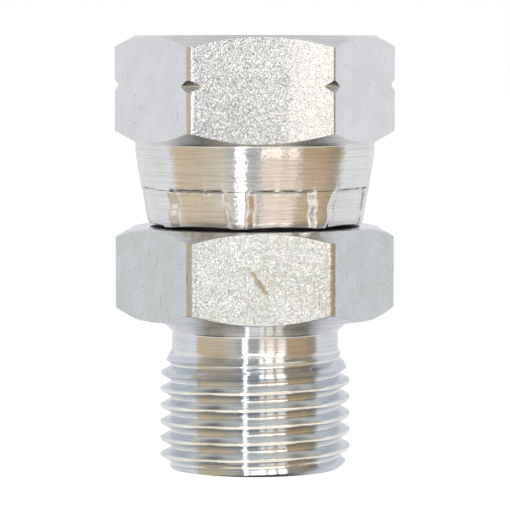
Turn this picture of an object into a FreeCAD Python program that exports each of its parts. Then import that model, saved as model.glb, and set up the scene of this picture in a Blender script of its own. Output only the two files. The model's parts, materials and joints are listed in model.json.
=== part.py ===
import FreeCAD, Part
import math
import os

# Straight hydraulic adapter in millimetres: a male parallel thread below, a crimped swivel nut above
# The axis is +Z, and the origin is the centre of the male end face
# Threads are plain cylinders at their major or minor diameter

# Pipe thread G 1/2, both ends
THREAD_MAJOR_D = 20.955
THREAD_MINOR_D = 18.631

# Flow bore and sealing cones
BORE_D = 11.5
CONE_HALF_ANGLE = 30.0
END_FACE_WIDTH = 1.3

# Male end, under the spanner hexagon
MALE_LENGTH = 16.6
NECK_LENGTH = 1.85
NECK_RELIEF = 0.17
FOOT_STEP = 0.17
FLARE_HALF_ANGLE = 28.0

# Spanner hexagons: the flats stand this far outside the skirt, which gives 27 mm across flats
FLAT_STEP = 0.3525
CORNER_ROUND = 0.8
CHAMFER_ANGLE = 30.0
BODY_HEX_HEIGHT = 10.0
BODY_FACE_INSET = 0.25
NUT_HEX_HEIGHT = 11.6
NUT_TOP_INSET = 0.5

# Turned groove round the nut's hexagon, below its top face
GROOVE_DROP = 5.4
GROOVE_WIDTH = 1.3
GROOVE_DEPTH = 0.46

# Nose and collar of the body, inside the nut
COLLAR_CLEARANCE = 0.3
COLLAR_LENGTH = 2.0
NOSE_CLEARANCE = 0.3
NOSE_LENGTH = 1.2
NOSE_TIP_WALL = 0.85
NOSE_TIP_CLEARANCE = 0.3

# Sealing ring in the nose cone
RING_SECTION_D = 1.6
RING_SIDES = 10
RING_STANDOUT = 0.3
RING_GROOVE_WIDTH = 2.0
RING_GROOVE_WALL = 1.0
RING_SEAT_CLEARANCE = 0.02

# Swivel nut and its crimped skirt
NUT_GAP = 0.25
THREAD_RELIEF = 0.12
MOUTH_CLEARANCE = 0.3
SKIRT_LENGTH = 9.1
SKIRT_WALL = 2.55
SKIRT_STRAIGHT = 1.2
SKIRT_FOOT = 0.2
CRIMP_DRAW = 1.2
RIM_CHAMFER = 0.4
LIP_WALL = 2.45
LIP_LENGTH = 3.45
LIP_PLAY = 0.35
LIP_CHAMFER = 0.3

# Crimp pockets outside the skirt and the bulges that they push out inside it
POCKET_COUNT = 8
POCKET_PHASE = 11.4
POCKET_FLOOR_WIDTH = 6.0
POCKET_SLANT = 0.85
POCKET_DEPTH = 0.45
POCKET_REACH = 0.85
POCKET_CORNER = 0.9
RIM_LIFT = 0.35
BULGE_DEPTH = 0.35
SPIGOT_CLEARANCE = 0.45

# Radii worked out from the sizes above
thread_r = THREAD_MAJOR_D / 2
minor_r = THREAD_MINOR_D / 2
bore_r = BORE_D / 2
seat_r = minor_r - END_FACE_WIDTH
neck_r = minor_r - NECK_RELIEF
foot_r = thread_r + FOOT_STEP
back_r = thread_r + THREAD_RELIEF
collar_r = back_r - COLLAR_CLEARANCE
skirt_r = back_r + SKIRT_WALL
flat_r = skirt_r + FLAT_STEP
point_r = 2 * flat_r / math.sqrt(3)
corner_r = point_r - CORNER_ROUND * (2 / math.sqrt(3) - 1)
rim_r = skirt_r - CRIMP_DRAW
lip_r = rim_r - LIP_WALL
bulge_r = lip_r - BULGE_DEPTH
spigot_r = bulge_r - SPIGOT_CLEARANCE
nose_r = minor_r - NOSE_CLEARANCE
tip_r = bore_r + NOSE_TIP_WALL
mouth_r = thread_r + MOUTH_CLEARANCE
ring_floor_r = bore_r + RING_GROOVE_WALL
ring_top_r = ring_floor_r + RING_SECTION_D

# How far a cutting tool runs past what it cuts
beyond = point_r / 10

# Heights worked out from the sizes above, from the male end up
cone_rise = 1 / math.tan(math.radians(CONE_HALF_ANGLE))
chamfer_rise = math.tan(math.radians(CHAMFER_ANGLE))
flare_rise = 1 / math.tan(math.radians(FLARE_HALF_ANGLE))
end_chamfer_z = thread_r - minor_r
seat_z = (seat_r - bore_r) * cone_rise
hex_low_z = MALE_LENGTH
neck_high_z = hex_low_z - (foot_r - neck_r)
neck_low_z = neck_high_z - NECK_LENGTH
thread_high_z = neck_low_z - (thread_r - neck_r) * flare_rise
hex_high_z = hex_low_z + BODY_HEX_HEIGHT
skirt_low_z = hex_high_z + NUT_GAP
lip_high_z = skirt_low_z + LIP_LENGTH
back_low_z = lip_high_z + (back_r - lip_r)
collar_foot_z = lip_high_z + LIP_PLAY - (lip_r - spigot_r)
collar_low_z = collar_foot_z + (collar_r - spigot_r)
collar_high_z = collar_low_z + COLLAR_LENGTH
nose_high_z = collar_high_z + NOSE_LENGTH
tip_z = nose_high_z + (nose_r - tip_r) * cone_rise
ring_z = nose_high_z + (nose_r - ring_top_r + RING_STANDOUT) * cone_rise
nut_hex_low_z = skirt_low_z + SKIRT_LENGTH
nut_top_z = nut_hex_low_z + NUT_HEX_HEIGHT
straight_z = nut_hex_low_z - SKIRT_STRAIGHT
rim_high_z = skirt_low_z + RIM_CHAMFER
pocket_high_z = skirt_low_z + LIP_LENGTH + POCKET_REACH
nut_thread_low_z = tip_z + NOSE_TIP_CLEARANCE


def at(r, z):
    """Point of a turned outline at radius r and height z."""
    return FreeCAD.Vector(r, 0, z)


def lines(points):
    """Straight edges from each point to the next."""
    return [Part.makeLine(a, b) for a, b in zip(points, points[1:])]


def turned(*outline):
    """Solid of a closed polygon of (radius, height) pairs turned round the axis."""
    points = [at(r, z) for r, z in outline]
    face = Part.Face(Part.Wire(lines(points + points[:1])))
    return face.revolve(FreeCAD.Vector(), FreeCAD.Vector(0, 0, 1), 360)


def around(shape, count, phase):
    """Copies of a shape made on +X, spaced evenly round the axis, the first at phase from -Y."""
    copies = []
    for i in range(count):
        copy = shape.copy()
        angle = phase - 90 + i * 360 / count
        copy.rotate(FreeCAD.Vector(), FreeCAD.Vector(0, 0, 1), angle)
        copies.append(copy)
    return copies


def hexagon(low_z, high_z, low_r, high_r):
    """Spanner hexagon with flats on +Y and -Y, chamfered from the round edges of its two faces."""
    corners = []
    for i in range(7):
        angle = math.radians(60 * i)
        corners.append(FreeCAD.Vector(point_r * math.cos(angle), point_r * math.sin(angle), low_z))
    prism = Part.Face(Part.makePolygon(corners)).extrude(FreeCAD.Vector(0, 0, high_z - low_z))
    upright = [e for e in prism.Edges if abs(e.tangentAt(e.FirstParameter).z) > 0.9]
    prism = prism.makeFillet(CORNER_ROUND, upright)
    blank = turned(
        (0, low_z),
        (low_r, low_z),
        (point_r, low_z + (point_r - low_r) * chamfer_rise),
        (point_r, high_z - (point_r - high_r) * chamfer_rise),
        (high_r, high_z),
        (0, high_z),
    )
    return prism.common(blank)


def male_end():
    """Plain thread cylinder with its end chamfer, the undercut neck and the cone under the hexagon."""
    return turned(
        (0, 0),
        (minor_r, 0),
        (thread_r, end_chamfer_z),
        (thread_r, thread_high_z),
        (neck_r, neck_low_z),
        (neck_r, neck_high_z),
        (foot_r, hex_low_z),
        (0, hex_low_z),
    )


def nose():
    """Spigot, collar and sealing cone that stand above the hexagon, inside the nut."""
    blank = turned(
        (0, hex_high_z),
        (spigot_r, hex_high_z),
        (spigot_r, collar_foot_z),
        (collar_r, collar_low_z),
        (collar_r, collar_high_z - COLLAR_CLEARANCE),
        (collar_r - COLLAR_CLEARANCE, collar_high_z),
        (nose_r, collar_high_z),
        (nose_r, nose_high_z),
        (tip_r, tip_z),
        (0, tip_z),
    )
    groove = turned(
        (ring_floor_r, ring_z - RING_GROOVE_WIDTH / 2),
        (nose_r + beyond, ring_z - RING_GROOVE_WIDTH / 2),
        (nose_r + beyond, ring_z + RING_GROOVE_WIDTH / 2),
        (ring_floor_r, ring_z + RING_GROOVE_WIDTH / 2),
    )
    return blank.cut(groove)


def flow_bore():
    """Space of the flow bore and of the sealing seat in the male end."""
    return turned(
        (0, -beyond),
        (seat_r + beyond / cone_rise, -beyond),
        (bore_r, seat_z),
        (bore_r, tip_z + beyond),
        (0, tip_z + beyond),
    )


def adapter_body():
    """One turned piece: male end, spanner hexagon and nose, bored through."""
    face_r = flat_r - BODY_FACE_INSET
    grip = hexagon(hex_low_z, hex_high_z, face_r, face_r)
    return grip.fuse([male_end(), nose()]).removeSplitter().cut(flow_bore())


def cone_o_ring():
    """Rubber ring lying on the floor of its groove, its round section drawn with a few even sides."""
    section_r = RING_SECTION_D / 2
    ring_r = ring_floor_r + section_r + RING_SEAT_CLEARANCE
    outline = []
    for i in range(RING_SIDES):
        angle = 2 * math.pi * i / RING_SIDES
        outline.append((ring_r + section_r * math.cos(angle), ring_z + section_r * math.sin(angle)))
    return turned(*outline)


def skirt():
    """Solid skirt under the nut's hexagon, drawn in towards its chamfered rim."""
    return turned(
        (0, skirt_low_z),
        (rim_r - RIM_CHAMFER, skirt_low_z),
        (rim_r, rim_high_z),
        (skirt_r, straight_z),
        (skirt_r, nut_hex_low_z - SKIRT_FOOT),
        (skirt_r + SKIRT_FOOT, nut_hex_low_z),
        (0, nut_hex_low_z),
    )


def corner_groove():
    """Ring that cuts the V groove across the corners of the nut's hexagon."""
    middle_z = nut_top_z - GROOVE_DROP
    rise = GROOVE_WIDTH / 2 / GROOVE_DEPTH
    return turned(
        (corner_r - GROOVE_DEPTH, middle_z),
        (corner_r + beyond, middle_z - rise * (GROOVE_DEPTH + beyond)),
        (corner_r + beyond, middle_z + rise * (GROOVE_DEPTH + beyond)),
    )


def nut_bore():
    """Space inside the nut: mouth, thread, back bore, slope of the lip and the lip itself."""
    mouth_low_z = nut_top_z - (mouth_r - minor_r)
    return turned(
        (0, skirt_low_z - beyond),
        (lip_r + LIP_CHAMFER + beyond, skirt_low_z - beyond),
        (lip_r, skirt_low_z + LIP_CHAMFER),
        (lip_r, lip_high_z),
        (back_r, back_low_z),
        (back_r, nut_thread_low_z - (back_r - minor_r)),
        (minor_r, nut_thread_low_z),
        (minor_r, mouth_low_z),
        (mouth_r + beyond, nut_top_z + beyond),
        (0, nut_top_z + beyond),
    )


def jaw_section(z):
    """Cut through one crimping jaw at height z: narrow at the pocket's floor and wider outside it."""
    taper = (skirt_r - rim_r) / (straight_z - rim_high_z)
    floor_x = rim_r - POCKET_DEPTH + taper * (z - rim_high_z)
    outer_x = floor_x + 2 * POCKET_DEPTH
    floor_half = POCKET_FLOOR_WIDTH / 2
    outer_half = floor_half + 2 * POCKET_SLANT
    corners = [
        (bulge_r, -floor_half),
        (floor_x, -floor_half),
        (outer_x, -outer_half),
        (outer_x, outer_half),
        (floor_x, floor_half),
        (bulge_r, floor_half),
    ]
    points = [FreeCAD.Vector(x, y, z) for x, y in corners]
    return Part.Wire(lines(points + points[:1]))


def jaw(high_z):
    """Crimping jaw on +X that leans with the skirt, with slanted sides and its upper corners cut off."""
    low_z = skirt_low_z - beyond
    shoulder_z = high_z - POCKET_CORNER
    half = POCKET_FLOOR_WIDTH / 2 + POCKET_SLANT
    corners = [
        (-half, low_z),
        (half, low_z),
        (half, shoulder_z),
        (half - POCKET_CORNER, high_z),
        (POCKET_CORNER - half, high_z),
        (-half, shoulder_z),
    ]
    points = [FreeCAD.Vector(0, y, z) for y, z in corners]
    outline = Part.Face(Part.Wire(lines(points + points[:1])))
    leaning = Part.makeLoft([jaw_section(low_z), jaw_section(high_z)], True, True)
    return leaning.common(outline.extrude(FreeCAD.Vector(skirt_r + beyond, 0, 0)))


def pocket():
    """What one jaw pressed away: a floor that follows the skirt, and the rim under it lifted a little."""
    floor_r = rim_r - POCKET_DEPTH
    rim_z = skirt_low_z + RIM_LIFT
    pressed = turned(
        (skirt_r - POCKET_DEPTH, straight_z),
        (floor_r, rim_z + RIM_CHAMFER),
        (floor_r - RIM_CHAMFER, rim_z),
        (bulge_r, rim_z),
        (bulge_r, skirt_low_z - beyond),
        (skirt_r + beyond, skirt_low_z - beyond),
        (skirt_r + beyond, straight_z),
    )
    return pressed.common(jaw(pocket_high_z))


def bulge():
    """What one jaw pushed inwards: a low pad inside the lip, sloped like the lip at its top."""
    pad = turned(
        (lip_r + LIP_CHAMFER, skirt_low_z + RIM_LIFT),
        (bulge_r, skirt_low_z + RIM_LIFT + BULGE_DEPTH + LIP_CHAMFER),
        (bulge_r, lip_high_z - BULGE_DEPTH),
        (lip_r + LIP_CHAMFER, lip_high_z + LIP_CHAMFER),
    )
    return pad.common(jaw(lip_high_z + beyond))


def swivel_nut():
    """Hexagon nut with a bore for the thread and a skirt crimped in behind the collar."""
    grip = hexagon(nut_hex_low_z, nut_top_z, skirt_r + SKIRT_FOOT, flat_r - NUT_TOP_INSET)
    blank = grip.cut(corner_groove()).fuse(skirt()).removeSplitter().cut(nut_bore())
    crimped = blank.cut(around(pocket(), POCKET_COUNT, POCKET_PHASE))
    return crimped.fuse(around(bulge(), POCKET_COUNT, POCKET_PHASE)).removeSplitter()


def main():
    os.makedirs("parts", exist_ok=True)
    pieces = {
        "adapter_body": adapter_body(),
        "cone_o_ring": cone_o_ring(),
        "swivel_nut": swivel_nut(),
    }
    for name, shape in pieces.items():
        shape.exportStep(f"parts/{name}.step")


main()
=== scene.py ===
import json
import math

import bmesh
import bpy
from mathutils import Matrix, Vector, noise


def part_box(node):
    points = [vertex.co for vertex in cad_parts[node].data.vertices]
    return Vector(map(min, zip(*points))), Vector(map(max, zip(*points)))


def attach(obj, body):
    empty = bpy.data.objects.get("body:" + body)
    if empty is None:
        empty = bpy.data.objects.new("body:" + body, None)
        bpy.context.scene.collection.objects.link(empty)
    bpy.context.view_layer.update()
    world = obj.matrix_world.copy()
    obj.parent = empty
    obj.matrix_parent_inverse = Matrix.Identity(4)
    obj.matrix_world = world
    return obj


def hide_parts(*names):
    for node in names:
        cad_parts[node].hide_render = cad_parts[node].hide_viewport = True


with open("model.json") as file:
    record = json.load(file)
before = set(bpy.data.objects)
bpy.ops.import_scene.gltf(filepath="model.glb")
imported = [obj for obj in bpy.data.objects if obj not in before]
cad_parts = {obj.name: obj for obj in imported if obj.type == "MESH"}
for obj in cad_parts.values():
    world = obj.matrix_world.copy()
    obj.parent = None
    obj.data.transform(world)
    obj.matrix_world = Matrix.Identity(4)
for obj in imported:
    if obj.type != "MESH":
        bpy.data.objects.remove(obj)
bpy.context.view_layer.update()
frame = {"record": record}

# Straight hydraulic adapter with a crimped swivel nut, built in millimetres and scaled to metres
MM = 0.001
X_AXIS = Vector((1, 0, 0))
Z_AXIS = Vector((0, 0, 1))

# Photograph: where the camera stood, in the frame of the part
FRAME_PX = 510
SENSOR_MM = 36.0
FOCAL_PX = 3458.0
CAMERA_DISTANCE = 380.0
CAMERA_HEIGHT = 48.45
CAMERA_TURN = math.radians(-2.8)
CAMERA_DROP = math.radians(3.77)


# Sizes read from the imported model


def mount(name):
    """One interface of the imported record."""
    return next(entry for entry in frame["record"]["mounts"] if entry["name"] == name)


body_box = [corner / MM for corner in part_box("adapter_body")]
nut_box = [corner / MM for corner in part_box("swivel_nut")]
thread_r = mount("male_thread")["dims"]["r_mm"]
minor_r = mount("swivel_thread")["dims"]["r_mm"]
bore_r = mount("flow_bore")["dims"]["r_mm"]
flat_r = -mount("body_spanner_flat")["pos_m"][1] / MM
hex_low_z = mount("seal_face")["pos_m"][2] / MM
hex_high_z = 2 * mount("body_spanner_flat")["pos_m"][2] / MM - hex_low_z
tip_z = body_box[1].z
nut_top_z = nut_box[1].z

# Spanner hexagons. Narrow flats make up each burnished corner: degrees from its middle and extra depth
NUT_CORNER_ROUND = 1.3
BODY_CORNER_ROUND = 1.6
CORNER_FLATS = ((2.5, 0), (7.5, 0), (13, 0), (21.7, 0.012))
CHAMFER_RISE = math.tan(math.radians(30))
EDGE_WEAR = 0.1
TINY_EDGE = 0.03
BODY_FACE_INSET = 0.1
NUT_TOP_INSET = 0.25
DRAWN_CREASE_X = 2.95
DRAWN_CREASE_TURN = math.radians(2.2)
GROOVE_DROP = 5.4
GROOVE_WIDTH = 1.3
GROOVE_DEPTH = 0.46
GROOVE_ROUND = 0.1
point_r = 2 * flat_r / math.sqrt(3)
nut_corner_r = point_r - NUT_CORNER_ROUND * (2 / math.sqrt(3) - 1)

# Smear of dried oil on the body
SMEAR_PLACE = Vector((-0.2, -13.5, 21.2)) * MM
SMEAR_LEAN = math.radians(-35)
SMEAR_SIZE = Vector((0.36, 3.0, 2.1)) * MM
SMEAR_RAGGED = 0.5
SMEAR_RAGGED_SHARE = 1.6
SMEAR_FADE = (1.8, 1.3)
SMEAR_SHARE = 0.8
SMEAR_BROWN = "#CDB98C"

# Wear of the plated bar. Real hairlines are far thinner, and these are wide enough to show.
# Each fade runs from where the noise gives no mark to where the mark has its full share
HAIRLINE_WIDTH = 0.2
HAIRLINE_LENGTH = 3.5
HAIRLINE_TURN = (0.35, 0.2, 0.3)
HAIRLINE_WANDER = 0.8
HAIRLINE_FADE = (0.8, 0.84)
HAIRLINE_SHARE = 0.4
PIT_SPACING = 0.7
PIT_RARITY = 0.35
PIT_FADE = (0.24, 0.17)
PIT_SHARE = 0.5
MARK_GREY = "#8A8C90"

# Grain, lathe lines and clouds: widths and lengths in millimetres, and how strongly each one shows
FINE_GRAIN_TIMES = 2.2
FINE_GRAIN_LEAN = 0.7
GRAIN_HOLLOW_GREY = "#ABADAE"
GRAIN_HOLLOW_SHARE = 0.3
LATHE_LINE_LENGTH = 6.0
# Painted shade in the grooves of the lathe lines: its grey, its fade and its share
LATHE_LINE_GREY = "#B4B0A8"
LATHE_LINE_FADE = (0.35, 0.55)
LATHE_LINE_SHARE = 0.28
SPECK_WIDTH = 0.09
BAR_CLOUD = 3.0
TURNED_CLOUD = 4.0
# Cloud of the painted shade in the gap under the nut
DIRT_CLOUD = 0.8
CLOUD_FADE = (0.35, 0.65)
RUBBER_BLOOM = 0.4

# Pipe thread, 55 degrees, 14 to the inch
PITCH = 1.814
THREAD_HALF_ANGLE = math.radians(27.5)
THREAD_ROUND = 0.249
MALE_CREST_Z = 0.525
NUT_CREST_Z = 0.2
CREST_SLANT = 0.12
CREST_EDGE = 0.06
# Faces this close to the crest or the root radius take the crest's painted highlight, the others the
# flank's painted shade
CREST_REACH = 0.13
ROOT_REACH = 0.02

# Where a thread's own mesh joins the turned blank: how far from the neck, the back bore and the mouth
MALE_JOIN = 0.15
BACK_JOIN = 0.05
MOUTH_JOIN = 0.1

# Male end
CONE_RISE = 1 / math.tan(math.radians(30))
FLARE_RISE = 1 / math.tan(math.radians(24.5))
END_FACE_WIDTH = 1.3
NECK_LENGTH = 1.85
NECK_RELIEF = 0.17
FOOT_STEP = 0.17
NECK_TOOL_ROUND = 0.2
seat_r = minor_r - END_FACE_WIDTH
neck_r = minor_r - NECK_RELIEF
foot_r = thread_r + FOOT_STEP
neck_high_z = hex_low_z - (foot_r - neck_r)
neck_low_z = neck_high_z - NECK_LENGTH
flare_low_z = neck_low_z - (thread_r - neck_r) * FLARE_RISE
male_join_z = neck_low_z - MALE_JOIN

# Spigot, collar and nose inside the nut
COLLAR_LENGTH = 2.0
NOSE_LENGTH = 1.2
NOSE_TIP_WALL = 0.85
NOSE_EDGE = 0.1
COLLAR_CLEARANCE = 0.3
SPIGOT_CLEARANCE = 0.45
RING_SECTION = 1.6
RING_STANDOUT = 0.3
RING_GROOVE_WIDTH = 2.0
RING_GROOVE_WALL = 1.0
RING_SEAT_GAP = 0.02

# Swivel nut
NUT_GAP = 0.25
NUT_THREAD_START = 0.3
THREAD_RELIEF = 0.12
MOUTH_CLEARANCE = 0.3
SKIRT_LENGTH = 9.1
SKIRT_WALL = 2.55
SKIRT_STRAIGHT = 1.2
SKIRT_BEND = 0.6
SKIRT_FOOT = 0.2
SKIRT_FOOT_ROUND = 0.15
CRIMP_DRAW = 1.2
RIM_BEVEL = 0.55
RIM_BEVEL_LEAN = math.radians(21)
RIM_ROUND = 0.14
# The painted shade on the body's top face stops this far inside the rim of the skirt
GAP_STEEL_INSET = 0.4
LIP_WALL = 2.45
LIP_LENGTH = 3.45
LIP_PLAY = 0.35
LIP_ROUND = 0.3
POCKET_COUNT = 8
POCKET_PHASE = math.radians(11.4)
POCKET_HALF = 3.95
POCKET_SLANT = 1.0
POCKET_UNEVEN = 0.5
POCKET_DEPTH = 0.45
POCKET_REACH = 0.85
POCKET_EDGE = 0.3
POCKET_CORNER = 0.9
RIM_LIFT = 0.14
BULGE_DEPTH = 0.35

# Unevenness of the pockets: how far apart in the noise two sides or tops lie, and how fast they waver
SIDE_STEP = 5.3
SIDE_WAVER = 0.7
TOP_STEP = 3.1
TOP_WAVER = 0.8

# Radii and heights of the nut, and of what turns inside it
skirt_low_z = hex_high_z + NUT_GAP
nut_hex_low_z = skirt_low_z + SKIRT_LENGTH
straight_z = nut_hex_low_z - SKIRT_STRAIGHT
back_r = thread_r + THREAD_RELIEF
mouth_r = thread_r + MOUTH_CLEARANCE
skirt_r = back_r + SKIRT_WALL
rim_r = skirt_r - CRIMP_DRAW
lip_r = rim_r - LIP_WALL
spigot_r = lip_r - BULGE_DEPTH - SPIGOT_CLEARANCE
collar_r = back_r - COLLAR_CLEARANCE
nose_r = minor_r - COLLAR_CLEARANCE
tip_r = bore_r + NOSE_TIP_WALL
lip_high_z = skirt_low_z + LIP_LENGTH
back_low_z = lip_high_z + (back_r - lip_r)
collar_foot_z = lip_high_z + LIP_PLAY - (lip_r - spigot_r)
collar_low_z = collar_foot_z + (collar_r - spigot_r)
collar_high_z = collar_low_z + COLLAR_LENGTH
nose_high_z = collar_high_z + NOSE_LENGTH
ring_floor_r = bore_r + RING_GROOVE_WALL
ring_z = nose_high_z + (nose_r - ring_floor_r - RING_SECTION + RING_STANDOUT) * CONE_RISE
nut_thread_low_z = tip_z + NUT_THREAD_START
back_high_z = nut_thread_low_z - (back_r - minor_r)
pocket_high_z = lip_high_z + POCKET_REACH

# Mesh fineness: steps round the axis, segments of a rounded corner, rows of points up the crimped wall
BODY_STEPS = 360
NUT_STEPS = 480
RING_STEPS = 240
RING_SIDES = 32
ROUND_SEGMENTS = 4
WEAR_SEGMENTS = 3
LIP_ROWS = 6
SKIRT_ROWS = 18
WELD = 0.002
SHARP = math.radians(24)

# Cutting plane: how near it a face has to come to be cut, and how close a point counts as on it
CUT_REACH = 0.5
CUT_SNAP = 0.0001

# Places of the finishes in a piece's list of materials, after the turned finish at place 0
# FLANK carries the male thread's painted shade, and CREST its painted highlight
# GAP_STEEL is the slot of the painted shade in the gap under the nut
BAR, GAP_STEEL, FLANK, CREST, CORNER = range(1, 6)


# Colours and shader nodes


def linear(code):
    """Linear colour from an sRGB hex code."""
    channels = [int(code[i:i + 2], 16) / 255 for i in (1, 3, 5)]
    return [c / 12.92 if c <= 0.04045 else ((c + 0.055) / 1.055) ** 2.4 for c in channels] + [1.0]


def node(tree, kind, settings=(), links=()):
    """Adds a shader node; settings are attributes or input values, links join outputs to its inputs."""
    new = tree.nodes.new(kind)
    for key, value in dict(settings).items():
        if isinstance(key, str) and hasattr(new, key):
            setattr(new, key, value)
        else:
            new.inputs[key].default_value = value
    for key, output in dict(links).items():
        tree.links.new(output, new.inputs[key])
    return new


# Studio


def studio_camera():
    """Camera at the photograph's place, looking level at the axis but for its small drop."""
    data = bpy.data.cameras.new("camera")
    data.sensor_width = SENSOR_MM
    data.lens = SENSOR_MM * FOCAL_PX / FRAME_PX
    data.clip_start = 0.01
    data.clip_end = 20
    camera = bpy.data.objects.new("camera", data)
    turn = Matrix.Rotation(CAMERA_TURN, 4, "Z")
    place = turn @ Vector((0, -CAMERA_DISTANCE, CAMERA_HEIGHT)) * MM
    camera.matrix_world = (
        Matrix.Translation(place) @ turn @ Matrix.Rotation(math.pi / 2 - CAMERA_DROP, 4, "X")
    )
    bpy.context.scene.collection.objects.link(camera)
    bpy.context.scene.camera = camera


# Walls that a vertical face mirrors, by degrees to the right of the front flat's middle
STUDIO_BANDS = [
    (-180, "#E1E3E6"),
    (-93, "#E1E3E6"),
    (-90, "#CEBBA0"),
    (-60, "#CAB79D"),
    (-34, "#C8BFB0"),
    (-29, "#BDBBB6"),
    (-20, "#9E9FA1"),
    (42, "#9C9DA0"),
    (44, "#BDA482"),
    (72, "#B9A080"),
    (76, "#A3967F"),
    (89, "#A3967F"),
    (94, "#E1E3E6"),
    (180, "#E1E3E6"),
]

# Table round the part and, darker with the part's painted shadow, right under it, each from in front of
# it to behind it
TABLE_EDGE_TONES = [
    (0.0, "#FFFAF0"),
    (0.6, "#FFFAF0"),
    (0.75, "#DADBE0"),
    (1.0, "#DADBE0"),
]
TABLE_TONES = [
    (0.0, "#FFFAF0"),
    (0.26, "#FFFAF0"),
    (0.35, "#3A3B3C"),
    (0.62, "#3C3D3F"),
    (0.76, "#DADBE0"),
    (1.0, "#DADBE0"),
]

# How steeply a ray points, from 1 up to -1 down, where one zone of the studio fades into the next
TABLE_FADE = (-0.42, -0.48)
# The painted shadow right under the part fades in between these two heights
UNDER_FADE = (-0.58, -0.66)
CEILING_FADE = (0.45, 0.7)

# Ceiling before and behind the part, and the depths between which one tone fades into the other
CEILING_FRONT = "#8C8C8A"
CEILING_BACK = "#D1D2D4"
BEHIND_FADE = (-0.15, 0.35)

# Floor: half its width in metres, and what the camera sees of its own glow, so that it comes out white
FLOOR_HALF = 2.0
FLOOR_GLOW = 1.14
FLOOR_GLOW_SHARE = 0.85

# Soft boxes: left, right, low and high edges in degrees as the part sees them, strength and colour
SOFT_BOXES = [
    (-19.2, -17.5, -50, 50, 1.3, "#FFFFFF"),
    (-17.5, -15.7, -50, 50, 4.4, "#FFFFFF"),
    (-15.7, -14.0, -50, 50, 1.3, "#FFFFFF"),
    (3.9, 10.0, -8, 10, 1.15, "#FFFAF2"),
    (12.8, 24.0, -8, 10, 1.1, "#FFF0DA"),
    (28.0, 40.2, -8, 10, 1.1, "#FFECD2"),
    (3.9, 10.0, 10, 48, 1.8, "#FFFAF2"),
    (12.8, 24.0, 10, 48, 1.8, "#FFF4E2"),
    (28.0, 40.2, 10, 48, 1.8, "#FFF1DE"),
    (3.9, 41.0, -28, -10, 0.36, "#FFB878"),
    (-14.0, 3.9, 11, 32, 1.4, "#FFFFFF"),
]
SOFT_BOX_DISTANCE = 600.0


def soft_boxes():
    """Upright soft boxes round the front of the part, not seen by the camera itself."""
    for left, right, low, high, strength, code in SOFT_BOXES:
        low_z = SOFT_BOX_DISTANCE * math.tan(math.radians(low))
        high_z = SOFT_BOX_DISTANCE * math.tan(math.radians(high))
        data = bpy.data.lights.new("soft_box", "AREA")
        data.shape = "RECTANGLE"
        data.size = 2 * SOFT_BOX_DISTANCE * math.tan(math.radians((right - left) / 2)) * MM
        data.size_y = (high_z - low_z) * MM
        data.color = linear(code)[:3]
        data.energy = strength * math.pi * data.size * data.size_y
        box = bpy.data.objects.new("soft_box", data)
        turn = Matrix.Rotation(math.radians((left + right) / 2), 4, "Z")
        place = turn @ Vector((0, -SOFT_BOX_DISTANCE, (low_z + high_z) / 2)) * MM
        box.matrix_world = Matrix.Translation(place) @ turn @ Matrix.Rotation(math.pi / 2, 4, "X")
        box.visible_camera = False
        bpy.context.scene.collection.objects.link(box)


def studio_walls(tree, parts):
    """Walls round the part: upright bands by the direction in which a ray leaves."""
    back = node(tree, "ShaderNodeMath", {"operation": "MULTIPLY", 1: -1.0}, {0: parts.outputs["Y"]})
    turn = node(
        tree, "ShaderNodeMath", {"operation": "ARCTAN2"}, {0: parts.outputs["X"], 1: back.outputs[0]}
    )
    share = node(
        tree,
        "ShaderNodeMapRange",
        {"From Min": -math.pi, "From Max": math.pi},
        {"Value": turn.outputs[0]},
    )
    bands = node(tree, "ShaderNodeValToRGB", links={0: share.outputs[0]})
    fill_ramp(bands.color_ramp, [((degrees + 180) / 360, code) for degrees, code in STUDIO_BANDS])
    return bands.outputs[0]


def studio_table(tree, parts):
    """Table below the part, with the part's shadow painted as a darker zone right under it."""
    depth = node(
        tree, "ShaderNodeMapRange", {"From Min": -1.0, "From Max": 1.0}, {"Value": parts.outputs["Y"]}
    )
    edge = node(tree, "ShaderNodeValToRGB", links={0: depth.outputs[0]})
    fill_ramp(edge.color_ramp, TABLE_EDGE_TONES)
    middle = node(tree, "ShaderNodeValToRGB", links={0: depth.outputs[0]})
    fill_ramp(middle.color_ramp, TABLE_TONES)
    under = node(
        tree,
        "ShaderNodeMapRange",
        {"From Min": UNDER_FADE[0], "From Max": UNDER_FADE[1]},
        {"Value": parts.outputs["Z"]},
    )
    table = node(
        tree,
        "ShaderNodeMix",
        {"data_type": "RGBA"},
        {0: under.outputs[0], 6: edge.outputs[0], 7: middle.outputs[0]},
    )
    return table.outputs[2]


def studio_ceiling(tree, parts):
    """Ceiling above the part, darker in front of it than behind it."""
    behind = node(
        tree,
        "ShaderNodeMapRange",
        {"From Min": BEHIND_FADE[0], "From Max": BEHIND_FADE[1]},
        {"Value": parts.outputs["Y"]},
    )
    ceiling = node(
        tree,
        "ShaderNodeMix",
        {"data_type": "RGBA", 6: linear(CEILING_FRONT), 7: linear(CEILING_BACK)},
        {0: behind.outputs[0]},
    )
    return ceiling.outputs[2]


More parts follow.
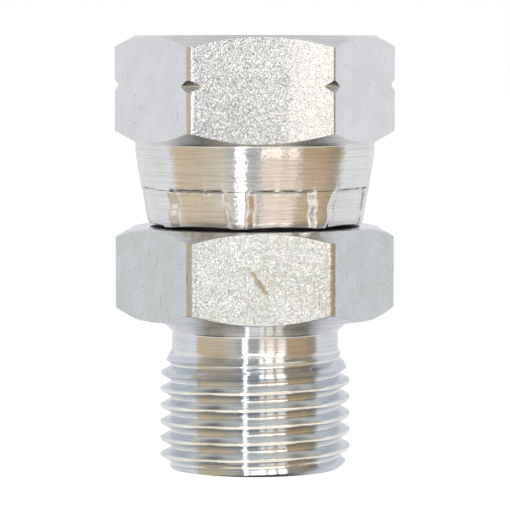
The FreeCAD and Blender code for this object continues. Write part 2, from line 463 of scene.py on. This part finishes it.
def studio_world():
    """Surrounding light: white to the camera, and a studio's walls, table and ceiling to the metal."""
    world = bpy.data.worlds.new("studio")
    world.use_nodes = True
    tree = world.node_tree
    tree.nodes.clear()
    direction = node(tree, "ShaderNodeTexCoord").outputs["Generated"]
    parts = node(tree, "ShaderNodeSeparateXYZ", links={0: direction})
    low = node(
        tree,
        "ShaderNodeMapRange",
        {"From Min": TABLE_FADE[0], "From Max": TABLE_FADE[1]},
        {"Value": parts.outputs["Z"]},
    )
    grounded = node(
        tree,
        "ShaderNodeMix",
        {"data_type": "RGBA"},
        {0: low.outputs[0], 6: studio_walls(tree, parts), 7: studio_table(tree, parts)},
    )
    high = node(
        tree,
        "ShaderNodeMapRange",
        {"From Min": CEILING_FADE[0], "From Max": CEILING_FADE[1]},
        {"Value": parts.outputs["Z"]},
    )
    lit = node(
        tree,
        "ShaderNodeMix",
        {"data_type": "RGBA"},
        {0: high.outputs[0], 6: grounded.outputs[2], 7: studio_ceiling(tree, parts)},
    )
    seen = node(tree, "ShaderNodeLightPath").outputs["Is Camera Ray"]
    shown = node(
        tree,
        "ShaderNodeMix",
        {"data_type": "RGBA", 7: (1.0, 1.0, 1.0, 1.0)},
        {0: seen, 6: lit.outputs[2]},
    )
    light = node(tree, "ShaderNodeBackground", links={"Color": shown.outputs[2]})
    node(tree, "ShaderNodeOutputWorld", links={"Surface": light.outputs[0]})
    bpy.context.scene.world = world


def fill_ramp(ramp, stops):
    """Sets the stops of a colour ramp from (place, hex code) pairs."""
    for place, code in stops[1:-1]:
        ramp.elements.new(place).color = linear(code)
    ramp.elements[0].color = linear(stops[0][1])
    ramp.elements[-1].color = linear(stops[-1][1])


def studio_floor():
    """Plain pale floor that keeps the part's soft shadow."""
    bm = bmesh.new()
    bmesh.ops.create_grid(bm, x_segments=1, y_segments=1, size=FLOOR_HALF)
    mesh = bpy.data.meshes.new("floor")
    bm.to_mesh(mesh)
    bm.free()
    floor = bpy.data.objects.new("floor", mesh)
    bpy.context.scene.collection.objects.link(floor)
    material = bpy.data.materials.new("matt_white_board")
    material.use_nodes = True
    tree = material.node_tree
    tree.nodes.clear()
    paint = node(tree, "ShaderNodeBsdfDiffuse", {"Color": linear("#F4F4F2")})
    glow = node(tree, "ShaderNodeEmission", {"Color": (1.0, 1.0, 1.0, 1.0), "Strength": FLOOR_GLOW})
    seen = node(tree, "ShaderNodeLightPath").outputs["Is Camera Ray"]
    share = node(tree, "ShaderNodeMath", {"operation": "MULTIPLY", 1: FLOOR_GLOW_SHARE}, {0: seen})
    both = node(
        tree, "ShaderNodeMixShader", links={0: share.outputs[0], 1: paint.outputs[0], 2: glow.outputs[0]}
    )
    node(tree, "ShaderNodeOutputMaterial", links={"Surface": both.outputs[0]})
    mesh.materials.append(material)
    floor.visible_glossy = False
    floor.visible_shadow = False


# Materials


def clouded(tree, place, colour, shade, cloud_mm):
    """Base colour that drifts between two tones, as a plated layer does with its thickness."""
    cloud = node(
        tree, "ShaderNodeTexNoise", {"Scale": 1 / (cloud_mm * MM), "Detail": 3.0}, {"Vector": place}
    )
    share = node(
        tree,
        "ShaderNodeMapRange",
        {"From Min": CLOUD_FADE[0], "From Max": CLOUD_FADE[1]},
        {"Value": cloud.outputs[0]},
    )
    tone = node(
        tree,
        "ShaderNodeMix",
        {"data_type": "RGBA", 6: linear(shade), 7: linear(colour)},
        {0: share.outputs[0]},
    )
    return tone.outputs[2]


def leaned(tree, lean, amount, normal):
    """Normal pushed off by a random vector, with parts from 0 to 1, times an amount."""
    centred = node(
        tree, "ShaderNodeVectorMath", {"operation": "SUBTRACT", 1: (0.5, 0.5, 0.5)}, {0: lean}
    )
    pushed = node(
        tree,
        "ShaderNodeVectorMath",
        {"operation": "MULTIPLY_ADD", 1: (amount, amount, amount)},
        {0: centred.outputs[0], 2: normal},
    )
    unit = node(tree, "ShaderNodeVectorMath", {"operation": "NORMALIZE"}, {0: pushed.outputs[0]})
    return unit.outputs[0]


def smeared(tree, place, tone):
    """Base colour with a small slanting brown smear of dried oil on the front flat of the body."""
    along = node(
        tree,
        "ShaderNodeMapping",
        {
            "vector_type": "TEXTURE",
            "Location": SMEAR_PLACE,
            "Rotation": (0, SMEAR_LEAN, 0),
            "Scale": SMEAR_SIZE,
        },
        {"Vector": place},
    )
    away = node(tree, "ShaderNodeVectorMath", {"operation": "LENGTH"}, {0: along.outputs[0]})
    ragged = node(
        tree, "ShaderNodeTexNoise", {"Scale": 1 / (SMEAR_RAGGED * MM), "Detail": 3.0}, {"Vector": place}
    )
    both = node(
        tree,
        "ShaderNodeMath",
        {"operation": "MULTIPLY_ADD", 1: SMEAR_RAGGED_SHARE},
        {0: ragged.outputs[0], 2: away.outputs["Value"]},
    )
    share = node(
        tree,
        "ShaderNodeMapRange",
        {"From Min": SMEAR_FADE[0], "From Max": SMEAR_FADE[1], "To Max": SMEAR_SHARE},
        {"Value": both.outputs[0]},
    )
    brown = node(
        tree,
        "ShaderNodeMix",
        {"data_type": "RGBA", "blend_type": "MULTIPLY", 7: linear(SMEAR_BROWN)},
        {0: share.outputs[0], 6: tone},
    )
    return brown.outputs[2]


def scratched(tree, place, tone):
    """Base colour with thin dark hairlines and scattered small pits."""
    across = 1 / (HAIRLINE_WIDTH * MM)
    along = 1 / (HAIRLINE_LENGTH * MM)
    stretch = node(
        tree,
        "ShaderNodeMapping",
        {"Rotation": HAIRLINE_TURN, "Scale": (across, across, along)},
        {"Vector": place},
    )
    line = node(
        tree,
        "ShaderNodeTexNoise",
        {"Scale": 1.0, "Detail": 0.0, "Distortion": HAIRLINE_WANDER},
        {"Vector": stretch.outputs[0]},
    )
    hair = node(
        tree,
        "ShaderNodeMapRange",
        {"From Min": HAIRLINE_FADE[0], "From Max": HAIRLINE_FADE[1], "To Max": HAIRLINE_SHARE},
        {"Value": line.outputs[0]},
    )
    pit = node(tree, "ShaderNodeTexVoronoi", {"Scale": 1 / (PIT_SPACING * MM)}, {"Vector": place})
    rarer = node(
        tree,
        "ShaderNodeMath",
        {"operation": "MULTIPLY_ADD", 1: PIT_RARITY},
        {0: pit.outputs["Color"], 2: pit.outputs["Distance"]},
    )
    hole = node(
        tree,
        "ShaderNodeMapRange",
        {"From Min": PIT_FADE[0], "From Max": PIT_FADE[1], "To Max": PIT_SHARE},
        {"Value": rarer.outputs[0]},
    )
    mark = node(
        tree, "ShaderNodeMath", {"operation": "MAXIMUM"}, {0: hair.outputs[0], 1: hole.outputs[0]}
    )
    marked = node(
        tree,
        "ShaderNodeMix",
        {"data_type": "RGBA", "blend_type": "MULTIPLY", 7: linear(MARK_GREY)},
        {0: mark.outputs[0], 6: tone},
    )
    return marked.outputs[2]


def zinc_plate(name, colour, shade, roughness, grain_mm, tilt):
    """Zinc plate on pickled bar: each grain of the etched steel leans its own way and glints."""
    # The real grain is a few hundredths of a millimetre wide, and is drawn coarser so that it shows
    material = bpy.data.materials.new(name)
    material.use_nodes = True
    tree = material.node_tree
    shader = tree.nodes["Principled BSDF"]
    place = node(tree, "ShaderNodeTexCoord").outputs["Object"]
    normal = node(tree, "ShaderNodeNewGeometry").outputs["Normal"]
    coarse = node(tree, "ShaderNodeTexVoronoi", {"Scale": 1 / (grain_mm * MM)}, {"Vector": place})
    fine = node(
        tree, "ShaderNodeTexVoronoi", {"Scale": FINE_GRAIN_TIMES / (grain_mm * MM)}, {"Vector": place}
    )
    first = leaned(tree, coarse.outputs["Color"], tilt, normal)
    second = leaned(tree, fine.outputs["Color"], FINE_GRAIN_LEAN * tilt, first)
    shader.inputs["Metallic"].default_value = 1.0
    shader.inputs["Roughness"].default_value = roughness
    hollow = node(
        tree,
        "ShaderNodeMath",
        {"operation": "MULTIPLY", 1: GRAIN_HOLLOW_SHARE},
        {0: fine.outputs["Color"]},
    )
    plate = clouded(tree, place, colour, shade, BAR_CLOUD)
    tone = node(
        tree,
        "ShaderNodeMix",
        {"data_type": "RGBA", "blend_type": "MULTIPLY", 7: linear(GRAIN_HOLLOW_GREY)},
        {0: hollow.outputs[0], 6: scratched(tree, place, plate)},
    )
    tree.links.new(smeared(tree, place, tone.outputs[2]), shader.inputs["Base Color"])
    tree.links.new(second, shader.inputs["Normal"])
    return material


def turned_zinc(name, colour, shade, roughness, line_mm, line_depth, speck_tilt):
    """Zinc plate on a turned face: lathe lines round the axis draw lights out into upright streaks."""
    # Real lathe lines are about 0.05 mm apart and real specks finer; both are drawn coarser, to show
    material = bpy.data.materials.new(name)
    material.use_nodes = True
    tree = material.node_tree
    shader = tree.nodes["Principled BSDF"]
    place = node(tree, "ShaderNodeTexCoord").outputs["Object"]
    parts = node(tree, "ShaderNodeSeparateXYZ", links={0: place})
    flat = node(
        tree, "ShaderNodeVectorMath", {"operation": "MULTIPLY", 1: (1.0, 1.0, 0.0)}, {0: place}
    )
    radius = node(tree, "ShaderNodeVectorMath", {"operation": "LENGTH"}, {0: flat.outputs[0]})
    rings = node(
        tree,
        "ShaderNodeCombineXYZ",
        links={"X": radius.outputs["Value"], "Y": parts.outputs["X"], "Z": parts.outputs["Z"]},
    )
    across = 1 / (line_mm * MM)
    along = 1 / (LATHE_LINE_LENGTH * MM)
    stretch = node(
        tree,
        "ShaderNodeMapping",
        {"Scale": (across, along, across)},
        {"Vector": rings.outputs[0]},
    )
    line = node(
        tree,
        "ShaderNodeTexNoise",
        {"Scale": 1.0, "Detail": 2.0, "Roughness": 0.6},
        {"Vector": stretch.outputs[0]},
    )
    # Painted shade: the base colour darkens where the lathe lines run low, in their grooves
    fade_low, fade_high = LATHE_LINE_FADE
    dark = node(
        tree,
        "ShaderNodeMapRange",
        {"From Min": fade_low, "From Max": fade_high, "To Min": LATHE_LINE_SHARE, "To Max": 0.0},
        {"Value": line.outputs[0]},
    )
    tone = node(
        tree,
        "ShaderNodeMix",
        {"data_type": "RGBA", "blend_type": "MULTIPLY", 7: linear(LATHE_LINE_GREY)},
        {0: dark.outputs[0], 6: clouded(tree, place, colour, shade, TURNED_CLOUD)},
    )
    bump = node(
        tree,
        "ShaderNodeBump",
        {"Strength": 1.0, "Distance": line_depth * MM},
        {"Height": line.outputs[0]},
    )
    speck = node(tree, "ShaderNodeTexVoronoi", {"Scale": 1 / (SPECK_WIDTH * MM)}, {"Vector": place})
    around = node(tree, "ShaderNodeTangent", {"direction_type": "RADIAL", "axis": "Z"})
    shader.inputs["Metallic"].default_value = 1.0
    shader.inputs["Roughness"].default_value = roughness
    shader.inputs["Anisotropic"].default_value = 1.0
    shader.inputs["Anisotropic Rotation"].default_value = 0.25
    tree.links.new(around.outputs[0], shader.inputs["Tangent"])
    tree.links.new(tone.outputs[2], shader.inputs["Base Color"])
    normal = leaned(tree, speck.outputs["Color"], speck_tilt, bump.outputs[0])
    tree.links.new(normal, shader.inputs["Normal"])
    return material


def oiled_steel():
    """Steel in the narrow gap under the nut: dull, with a painted shade in cloudy dark greys."""
    material = bpy.data.materials.new("oiled_steel")
    material.use_nodes = True
    tree = material.node_tree
    shader = tree.nodes["Principled BSDF"]
    place = node(tree, "ShaderNodeTexCoord").outputs["Object"]
    shader.inputs["Metallic"].default_value = 1.0
    shader.inputs["Roughness"].default_value = 0.6
    # Painted shade: two dark greys stand for the shade in the narrow gap
    tone = clouded(tree, place, "#85878A", "#6A6C6F", DIRT_CLOUD)
    tree.links.new(tone, shader.inputs["Base Color"])
    return material


def nitrile_rubber():
    """Moulded black nitrile rubber: a soft sheen with a fine matt bloom."""
    material = bpy.data.materials.new("moulded_nitrile_rubber")
    material.use_nodes = True
    tree = material.node_tree
    shader = tree.nodes["Principled BSDF"]
    place = node(tree, "ShaderNodeTexCoord").outputs["Object"]
    bloom = node(
        tree, "ShaderNodeTexNoise", {"Scale": 1 / (RUBBER_BLOOM * MM), "Detail": 3.0}, {"Vector": place}
    )
    tone = node(tree, "ShaderNodeValToRGB", links={0: bloom.outputs[0]})
    fill_ramp(tone.color_ramp, [(0.0, "#16171A"), (1.0, "#26282B")])
    bump = node(
        tree, "ShaderNodeBump", {"Strength": 0.4, "Distance": 0.01 * MM}, {"Height": bloom.outputs[0]}
    )
    shader.inputs["Roughness"].default_value = 0.48
    shader.inputs["IOR"].default_value = 1.52
    tree.links.new(tone.outputs[0], shader.inputs["Base Color"])
    tree.links.new(bump.outputs[0], shader.inputs["Normal"])
    return material


# Turned and milled shapes, in millimetres


def outline_wire(bm, corners):
    """Wire through (r, z) or (r, z, round) corners; a round cuts that much off each side as an arc."""
    verts = [bm.verts.new((corner[0], 0, corner[1])) for corner in corners]
    edges = [bm.edges.new(pair) for pair in zip(verts, verts[1:])]
    rounds = {}
    for vert, corner in zip(verts, corners):
        if len(corner) > 2 and corner[2] > 0:
            rounds.setdefault(corner[2], []).append(vert)
    for reach, marked in rounds.items():
        bmesh.ops.bevel(
            bm,
            geom=marked,
            offset=reach,
            segments=ROUND_SEGMENTS,
            profile=0.5,
            affect="VERTICES",
            material=-1,
        )


def in_order(bm):
    """Puts points, edges and faces in order of place, so that each run gives the same mesh."""
    for elements, key in (
        (bm.verts, lambda v: v.co[:]),
        (bm.edges, lambda e: sorted(v.index for v in e.verts)),
        (bm.faces, lambda f: sorted(v.index for v in f.verts)),
    ):
        for number, element in enumerate(sorted(elements, key=key)):
            element.index = number
        elements.sort()


def spin_all(bm, steps):
    """Spins the wire in bm once round the axis."""
    bmesh.ops.spin(
        bm,
        geom=bm.verts[:] + bm.edges[:],
        axis=Z_AXIS,
        angle=2 * math.pi,
        steps=steps,
        use_merge=True,
    )
    in_order(bm)


def worn_edges(bm, middle_z, reach):
    """Edges where a flat meets a turned chamfer, further than reach above or below the middle."""
    return [
        e for e in bm.edges
        if len(e.link_faces) == 2
        and e.link_faces[0].material_index != e.link_faces[1].material_index
        and e.calc_face_angle(0) > SHARP
        and abs(e.verts[0].co.z - middle_z) > reach
    ]


def wear_edges(bm, middle_z, reach):
    """Rounds off the edges where the flats meet the chamfers, as tumbling and pickling do."""
    # A dict, unlike a set, keeps its order, so that each run gives the same mesh
    rim = dict.fromkeys(v for e in worn_edges(bm, middle_z, reach) for v in e.verts)
    bmesh.ops.remove_doubles(bm, verts=list(rim), dist=TINY_EDGE)
    bmesh.ops.bevel(
        bm,
        geom=worn_edges(bm, middle_z, reach),
        offset=EDGE_WEAR,
        segments=WEAR_SEGMENTS,
        profile=0.5,
        affect="EDGES",
        material=-1,
    )


def cut_flats(bm, low_z, high_z, corner_round, corner_material, creases=()):
    """Cuts the six flats of the bar and the six rounded, burnished corners between them."""
    planes = [(60 * i + 30, flat_r, BAR) for i in range(6)]
    centre_r = (flat_r - corner_round) / math.cos(math.radians(30))
    for i in range(6):
        for lean, burnish in CORNER_FLATS:
            distance = centre_r * math.cos(math.radians(lean)) + corner_round - burnish
            planes.append((60 * i + lean, distance, corner_material))
            planes.append((60 * i - lean, distance, corner_material))
    planes.extend((degrees, distance, BAR) for degrees, distance in creases)
    middle_z = (low_z + high_z) / 2
    for degrees, distance, material in planes:
        out = Matrix.Rotation(math.radians(degrees), 3, "Z") @ X_AXIS
        near = [
            f for f in bm.faces
            if abs(f.calc_center_median().z - middle_z) < (high_z - low_z) / 2
            and max(v.co.dot(out) for v in f.verts) > distance - CUT_REACH
        ]
        # Again a dict, for its order
        touched = dict.fromkeys(near)
        for f in near:
            touched.update(dict.fromkeys(f.edges))
            touched.update(dict.fromkeys(f.verts))
        result = bmesh.ops.bisect_plane(
            bm,
            geom=list(touched),
            dist=CUT_SNAP,
            plane_co=out * distance,
            plane_no=out,
            clear_outer=True,
        )
        rim = [e for e in result["geom_cut"] if isinstance(e, bmesh.types.BMEdge) and e.is_boundary]
        filled = bmesh.ops.contextual_create(bm, geom=rim)
        for f in filled["faces"]:
            f.material_index = material
    in_order(bm)


def thread_sheet(bm, crest_z, low_z, high_z, steps):
    """Threaded surface that runs past low_z and high_z: one turn spun along the helix, then stacked."""
    middle_r = (thread_r + minor_r) / 2
    half_height = PITCH / 4 / math.tan(THREAD_HALF_ANGLE)
    crest_half = (middle_r + half_height - thread_r) * math.tan(THREAD_HALF_ANGLE)
    slant_drop = crest_half + CREST_SLANT * math.tan(THREAD_HALF_ANGLE)
    start_z = crest_z + PITCH * math.floor((low_z - crest_z) / PITCH - 1)
    turns = math.ceil((high_z - start_z) / PITCH) + 1
    outline_wire(bm, [
        (middle_r, start_z - PITCH / 4),
        (thread_r - CREST_SLANT, start_z - slant_drop, CREST_EDGE),
        (thread_r, start_z + crest_half, CREST_EDGE),
        (middle_r - half_height, start_z + PITCH / 2, THREAD_ROUND / math.tan(THREAD_HALF_ANGLE)),
        (middle_r, start_z + 3 * PITCH / 4),
    ])
    bmesh.ops.spin(
        bm,
        geom=bm.verts[:] + bm.edges[:],
        axis=Z_AXIS,
        angle=2 * math.pi,
        dvec=Z_AXIS * PITCH / steps,
        steps=steps,
    )
    in_order(bm)
    turn = bm.faces[:]
    for i in range(1, turns):
        copied = bmesh.ops.duplicate(bm, geom=turn)["geom"]
        raised = [v for v in copied if isinstance(v, bmesh.types.BMVert)]
        bmesh.ops.translate(bm, verts=raised, vec=Z_AXIS * PITCH * i)


def clamp_thread(bm, low_z, high_z, limit, inside):
    """Turns the thread's ends down to the envelope limit(z) and gathers what lies past its two ends."""
    for v in bm.verts:
        v.co.z = min(max(v.co.z, low_z), high_z)
        r = math.hypot(v.co.x, v.co.y)
        edge_r = limit(v.co.z)
        if (r < edge_r) == inside or v.co.z in (low_z, high_z):
            v.co.x *= edge_r / r
            v.co.y *= edge_r / r
    bmesh.ops.remove_doubles(bm, verts=bm.verts[:], dist=WELD)


def finished(bm, name, materials, body, slot, *nodes):
    """Closes and smooths a mesh in millimetres, scales it to metres and makes it a piece of the part."""
    in_order(bm)
    bmesh.ops.remove_doubles(bm, verts=bm.verts[:], dist=WELD)
    in_order(bm)
    bmesh.ops.recalc_face_normals(bm, faces=bm.faces[:])
    for f in bm.faces:
        f.smooth = True
    for e in bm.edges:
        e.smooth = len(e.link_faces) == 2 and e.calc_face_angle(0) < SHARP
    bmesh.ops.scale(bm, vec=(MM, MM, MM), verts=bm.verts[:])
    mesh = bpy.data.meshes.new(name)
    bm.to_mesh(mesh)
    bm.free()
    for material in materials:
        mesh.materials.append(material)
    piece = bpy.data.objects.new(name, mesh)
    bpy.context.scene.collection.objects.link(piece)
    weigh = piece.modifiers.new("even_shading", "WEIGHTED_NORMAL")
    weigh.keep_sharp = True
    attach(piece, body)
    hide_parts(*nodes)


def oil_gap(bm, low_z, high_z, reach):
    """Marks the faces between two heights, no further than reach from the axis, for the gap's painted
    shade.
    """
    for f in bm.faces:
        middle = f.calc_center_median()
        if low_z < middle.z < high_z and math.hypot(middle.x, middle.y) < reach:
            f.material_index = GAP_STEEL


def grade_thread(bm):
    """Gives the male thread's cut flanks a painted shade, and its crests and roots a painted highlight.
    """
    for f in bm.faces:
        middle = f.calc_center_median()
        r = math.hypot(middle.x, middle.y)
        rounded = r > thread_r - CREST_REACH or r < minor_r + ROOT_REACH
        f.material_index = CREST if rounded else FLANK


def merge_into(bm, other):
    """Adds another mesh to bm."""
    mesh = bpy.data.meshes.new("part")
    other.to_mesh(mesh)
    other.free()
    bm.from_mesh(mesh)
    bpy.data.meshes.remove(mesh)


# Pieces


def male_limit(z):
    """Radius of the turned blank under the male thread at height z."""
    return min(thread_r, minor_r + z, thread_r - max(z - flare_low_z, 0) / FLARE_RISE)


def adapter_body(materials):
    """Turned body: end face, thread, neck, hexagon, collar and nose, bored through."""
    face_r = flat_r - BODY_FACE_INSET
    chamfer = (point_r - face_r) * CHAMFER_RISE
    gap_steel_r = rim_r - GAP_STEEL_INSET
    ring_low_z = ring_z - RING_GROOVE_WIDTH / 2
    ring_high_z = ring_z + RING_GROOVE_WIDTH / 2
    bm = bmesh.new()
    outline_wire(bm, [
        (male_limit(male_join_z), male_join_z),
        (neck_r, neck_low_z, NECK_TOOL_ROUND),
        (neck_r, neck_high_z, NECK_TOOL_ROUND),
        (foot_r, hex_low_z),
        (face_r, hex_low_z),
        (point_r, hex_low_z + chamfer),
        (point_r, hex_high_z - chamfer),
        (face_r, hex_high_z),
        (gap_steel_r, hex_high_z),
        (spigot_r, hex_high_z),
        (spigot_r, collar_foot_z),
        (collar_r, collar_low_z),
        (collar_r, collar_high_z - COLLAR_CLEARANCE),
        (collar_r - COLLAR_CLEARANCE, collar_high_z),
        (nose_r, collar_high_z),
        (nose_r, nose_high_z, NOSE_EDGE),
        (nose_r - (ring_low_z - nose_high_z) / CONE_RISE, ring_low_z),
        (ring_floor_r, ring_low_z),
        (ring_floor_r, ring_high_z),
        (nose_r - (ring_high_z - nose_high_z) / CONE_RISE, ring_high_z),
        (tip_r, tip_z, NOSE_EDGE),
        (bore_r, tip_z, NOSE_EDGE),
        (bore_r, (seat_r - bore_r) * CONE_RISE),
        (seat_r, 0),
        (minor_r, 0),
    ])
    spin_all(bm, BODY_STEPS)
    cut_flats(bm, hex_low_z, hex_high_z, BODY_CORNER_ROUND, CORNER)
    wear_edges(bm, (hex_low_z + hex_high_z) / 2, (hex_high_z - hex_low_z) / 4)
    # Painted shade on the body's top face and spigot under the nut's skirt
    oil_gap(bm, hex_high_z - WELD, collar_low_z, gap_steel_r)
    thread = bmesh.new()
    thread_sheet(thread, MALE_CREST_Z, 0, male_join_z, BODY_STEPS)
    clamp_thread(thread, 0, male_join_z, male_limit, False)
    grade_thread(thread)
    merge_into(bm, thread)
    finished(bm, "adapter_body_turned", materials, "adapter_body", "zinc_plated_body", "adapter_body")


def nut_limit(z):
    """Radius of the turned space inside the nut's thread at height z."""
    low = back_r - (z - back_high_z)
    high = mouth_r - (nut_top_z - z)
    return max(minor_r, low, high)


def pocket_mask(x, z, number):
    """How far one jaw has pressed, from 0 to 1, at x along the pocket and height z."""
    side_number = 2 * number + (x > 0)
    half = POCKET_HALF + POCKET_UNEVEN * noise.noise((SIDE_STEP * side_number, SIDE_WAVER * z, 0))
    over = z - (pocket_high_z - POCKET_CORNER)
    if over > 0:
        half -= POCKET_CORNER - math.sqrt(max(POCKET_CORNER ** 2 - over ** 2, 0))
    side = (half - abs(x)) / POCKET_SLANT
    waver = noise.noise((TOP_WAVER * x, TOP_STEP * number, 0)) - 1
    edge_z = pocket_high_z + POCKET_UNEVEN / 4 * waver
    top = (edge_z - z) / POCKET_EDGE
    share = max(0, min(1, side, top))
    return share * share * (3 - 2 * share)


def crimp(bm):
    """Presses the pockets into the skirt, lifts the rim under them and bulges the lip inside."""
    wall_r = (rim_r + lip_r) / 2
    for v in bm.verts:
        r = math.hypot(v.co.x, v.co.y)
        if v.co.z > pocket_high_z or r > skirt_r:
            continue
        turn = math.atan2(v.co.x, -v.co.y) - POCKET_PHASE
        pitch = 2 * math.pi / POCKET_COUNT
        number = round(turn / pitch) % POCKET_COUNT
        turn = (turn + pitch / 2) % pitch - pitch / 2
        press = pocket_mask(r * math.sin(turn), v.co.z, number)
        wave = (1 + math.cos(POCKET_COUNT * turn)) / 2
        v.co.z += RIM_LIFT * wave * max(0, 1 - (v.co.z - skirt_low_z) / LIP_LENGTH)
        new_r = r - POCKET_DEPTH * press
        if r < wall_r:
            new_r = r - BULGE_DEPTH * press * min(1, (lip_high_z - min(v.co.z, lip_high_z)) / BULGE_DEPTH)
        v.co.x *= new_r / r
        v.co.y *= new_r / r


def rows(r_low, z_low, r_high, z_high, count):
    """Evenly spaced outline points between two corners, without the corners."""
    return [
        (r_low + (r_high - r_low) * i / count, z_low + (z_high - z_low) * i / count)
        for i in range(1, count)
    ]


def swivel_nut(materials):
    """Hexagon nut with a crimped skirt, its corner groove and the female thread inside."""
    top_face_r = flat_r - NUT_TOP_INSET
    foot_r = skirt_r + SKIRT_FOOT
    groove_z = nut_top_z - GROOVE_DROP
    groove_rise = GROOVE_WIDTH / 2 / GROOVE_DEPTH
    groove_r = nut_corner_r - GROOVE_DEPTH
    groove_half = groove_rise * (point_r - groove_r)
    join_low_z = back_high_z + BACK_JOIN
    join_high_z = nut_top_z - MOUTH_JOIN
    rim_foot_r = rim_r - RIM_BEVEL * math.tan(RIM_BEVEL_LEAN)
    taper = (skirt_r - rim_r) / (straight_z - skirt_low_z - RIM_BEVEL)
    edge_r = rim_r + taper * (pocket_high_z - skirt_low_z - RIM_BEVEL)
    bm = bmesh.new()
    outline_wire(bm, [
        (nut_limit(join_low_z), join_low_z),
        (back_r, back_high_z),
        (back_r, back_low_z),
        (lip_r, lip_high_z),
        *rows(lip_r, lip_high_z, lip_r, skirt_low_z + LIP_ROUND, LIP_ROWS),
        (lip_r, skirt_low_z, LIP_ROUND),
        (rim_foot_r, skirt_low_z, RIM_ROUND),
        (rim_r, skirt_low_z + RIM_BEVEL, RIM_ROUND),
        *rows(rim_r, skirt_low_z + RIM_BEVEL, edge_r, pocket_high_z, SKIRT_ROWS),
        (edge_r - taper * POCKET_EDGE, pocket_high_z - POCKET_EDGE),
        (edge_r, pocket_high_z),
        (skirt_r, straight_z, SKIRT_BEND),
        (skirt_r, nut_hex_low_z - SKIRT_FOOT, SKIRT_FOOT_ROUND),
        (foot_r, nut_hex_low_z),
        (point_r, nut_hex_low_z + (point_r - foot_r) * CHAMFER_RISE),
        (point_r, groove_z - groove_half),
        (groove_r, groove_z, GROOVE_ROUND),
        (point_r, groove_z + groove_half),
        (point_r, nut_top_z - (point_r - top_face_r) * CHAMFER_RISE),
        (top_face_r, nut_top_z),
        (mouth_r, nut_top_z),
        (nut_limit(join_high_z), join_high_z),
    ])
    spin_all(bm, NUT_STEPS)
    crease_distance = flat_r * math.cos(DRAWN_CREASE_TURN) + DRAWN_CREASE_X * math.sin(DRAWN_CREASE_TURN)
    crease = (-90 + math.degrees(DRAWN_CREASE_TURN), crease_distance)
    cut_flats(bm, nut_hex_low_z, nut_top_z, NUT_CORNER_ROUND, BAR, [crease])
    # Painted shade on the underside of the nut's rim, in the gap above the body
    oil_gap(bm, skirt_low_z - WELD, skirt_low_z + LIP_ROUND, rim_foot_r - RIM_ROUND / 2)
    crimp(bm)
    thread = bmesh.new()
    thread_sheet(thread, NUT_CREST_Z, join_low_z, join_high_z, NUT_STEPS)
    clamp_thread(thread, join_low_z, join_high_z, nut_limit, True)
    merge_into(bm, thread)
    finished(bm, "swivel_nut_crimped", materials, "swivel_nut", "zinc_plated_nut", "swivel_nut")


def cone_o_ring(material):
    """Round rubber ring in the groove of the nose cone."""
    section_r = RING_SECTION / 2
    upright = Matrix.Rotation(math.pi / 2, 3, "X")
    middle_r = ring_floor_r + section_r + RING_SEAT_GAP
    bm = bmesh.new()
    bmesh.ops.create_circle(bm, segments=RING_SIDES, radius=section_r)
    bmesh.ops.rotate(bm, verts=bm.verts[:], cent=(0, 0, 0), matrix=upright)
    bmesh.ops.translate(bm, verts=bm.verts[:], vec=(middle_r, 0, ring_z))
    spin_all(bm, RING_STEPS)
    finished(bm, "nose_o_ring", [material], "adapter_body", "nitrile_rubber", "cone_o_ring")


studio_camera()
studio_world()
studio_floor()
soft_boxes()

# Bar: two tones, roughness, width of the grain and how far the grains lean
body_bar = zinc_plate("zinc_plated_body_bar", "#ECF0F1", "#E4E8E6", 0.22, 0.105, 0.38)
body_corner = zinc_plate("zinc_plated_body_corner", "#ECF0F1", "#E4E8E6", 0.16, 0.105, 0.2)
nut_bar = zinc_plate("zinc_plated_nut_bar", "#FCFCFC", "#F4F4F4", 0.15, 0.1, 0.13)

# Turned faces: two tones, roughness, spacing and depth of the lathe lines, and how far the specks lean
body_turned = turned_zinc("zinc_plated_body_turning", "#F2F3F4", "#E9EAEC", 0.15, 0.09, 0.008, 0.02)
# Painted shade on the thread's flanks in darker bluish tones, and a painted highlight on its crests and
# roots in near white
thread_flank = turned_zinc("zinc_plated_thread_flank", "#E4E9EE", "#DBE0E5", 0.12, 0.09, 0.004, 0.015)
thread_crest = turned_zinc("zinc_plated_thread_crest", "#FFFFFD", "#FCFAF4", 0.1, 0.1, 0.004, 0.08)
nut_turned = turned_zinc("zinc_plated_nut_turning", "#FAFAF9", "#F1F1F0", 0.15, 0.11, 0.009, 0.08)
# Painted shade for the gap under the nut
gap_steel = oiled_steel()

adapter_body([body_turned, body_bar, gap_steel, thread_flank, thread_crest, body_corner])
swivel_nut([nut_turned, nut_bar, gap_steel])
cone_o_ring(nitrile_rubber())

scene = bpy.context.scene
scene.view_settings.view_transform = "Standard"
